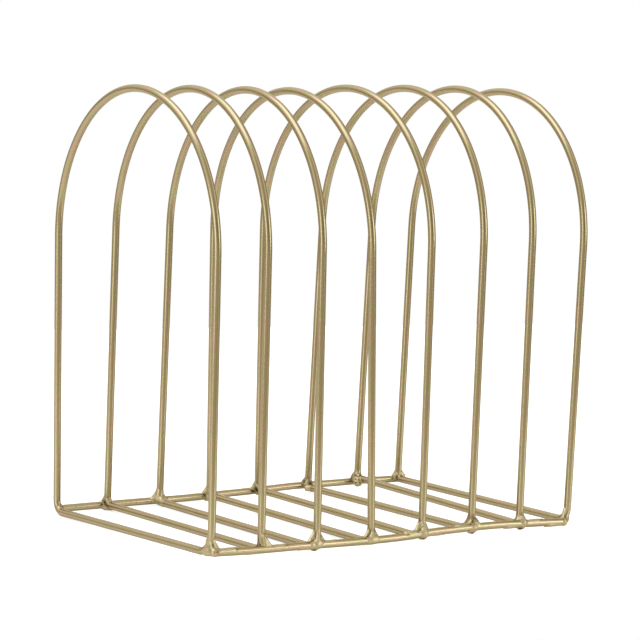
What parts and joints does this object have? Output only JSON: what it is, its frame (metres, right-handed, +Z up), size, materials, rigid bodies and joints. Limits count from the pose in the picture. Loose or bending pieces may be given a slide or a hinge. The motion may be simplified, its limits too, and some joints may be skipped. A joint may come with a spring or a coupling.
{
  "type": "wire magazine holder",
  "caption": "Free-standing magazine rack of brass-coloured wire: a row of round-topped bows welded to a rail along the front feet and one along the back feet.",
  "frame": {"origin": "on the floor, under the middle of the rack's box", "axes": "+X along the row of bows, from the bow that is at the left in the picture; -Y is the front, where the camera is; +Z up"},
  "size_m": [0.301, 0.2146, 0.2935],
  "materials": {
    "wire": "satin",
    "weld": "satin, uneven"
  },
  "bodies": {
    "root": {"bow_1": "wire", "bow_2": "wire", "bow_3": "wire", "bow_4": "wire", "bow_5": "wire", "bow_6": "wire", "bow_7": "wire", "bow_8": "wire", "front_rail": "wire", "back_rail": "wire", "front_weld_1": "weld", "front_weld_2": "weld", "front_weld_3": "weld", "front_weld_4": "weld", "front_weld_5": "weld", "front_weld_6": "weld", "front_weld_7": "weld", "front_weld_8": "weld", "back_weld_1": "weld", "back_weld_2": "weld", "back_weld_3": "weld", "back_weld_4": "weld", "back_weld_5": "weld", "back_weld_6": "weld", "back_weld_7": "weld", "back_weld_8": "weld"}
  },
  "joints": []
}
